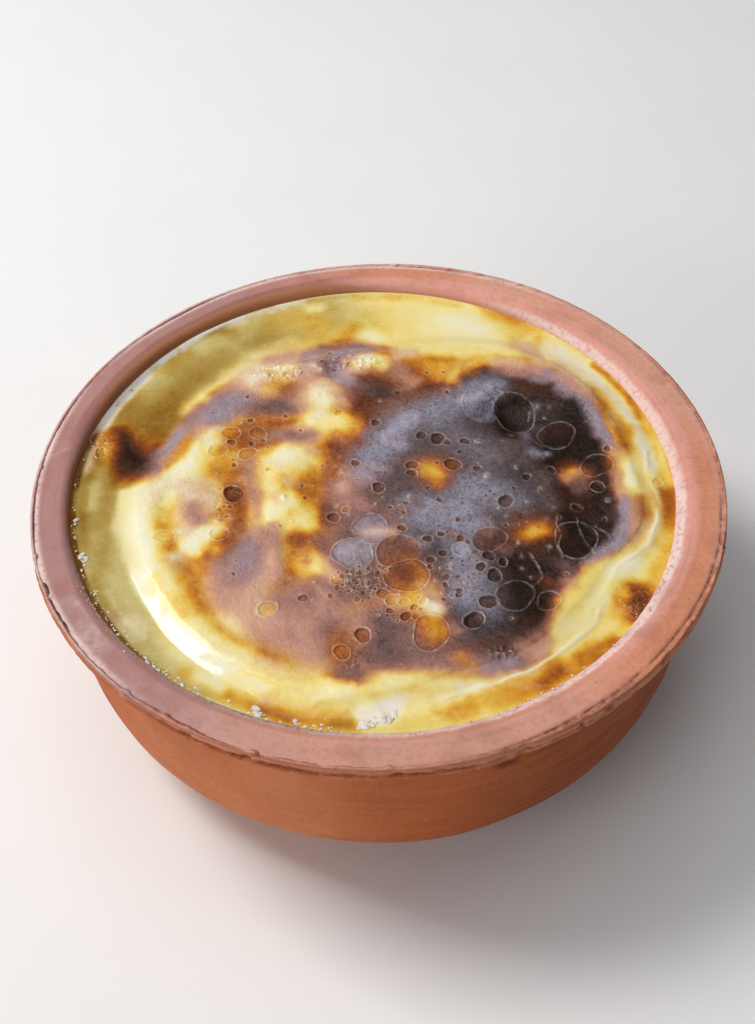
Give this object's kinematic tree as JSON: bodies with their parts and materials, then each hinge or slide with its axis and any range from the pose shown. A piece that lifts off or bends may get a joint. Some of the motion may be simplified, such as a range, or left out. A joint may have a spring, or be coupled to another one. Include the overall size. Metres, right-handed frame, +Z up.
{
  "type": "baked rice pudding",
  "caption": "Baked rice pudding with a scorched, blistered milk skin, set in the round unglazed clay bowl it was baked in; the bowl stands on a flat foot.",
  "frame": {"origin": "centre of the bowl's flat foot, on the surface it stands on", "axes": "+Z up, along the bowl's turning axis; -Y towards the viewer who sees the large scorched patch on the right; +X to that viewer's right"},
  "size_m": [0.1248, 0.1243, 0.045],
  "materials": {
    "terracotta": "matte unglazed fired clay",
    "pudding": "wet baked milk skin, cream yellow scorched brown to black"
  },
  "bodies": {
    "root": {"bowl": "terracotta", "pudding": "pudding"}
  },
  "joints": []
}
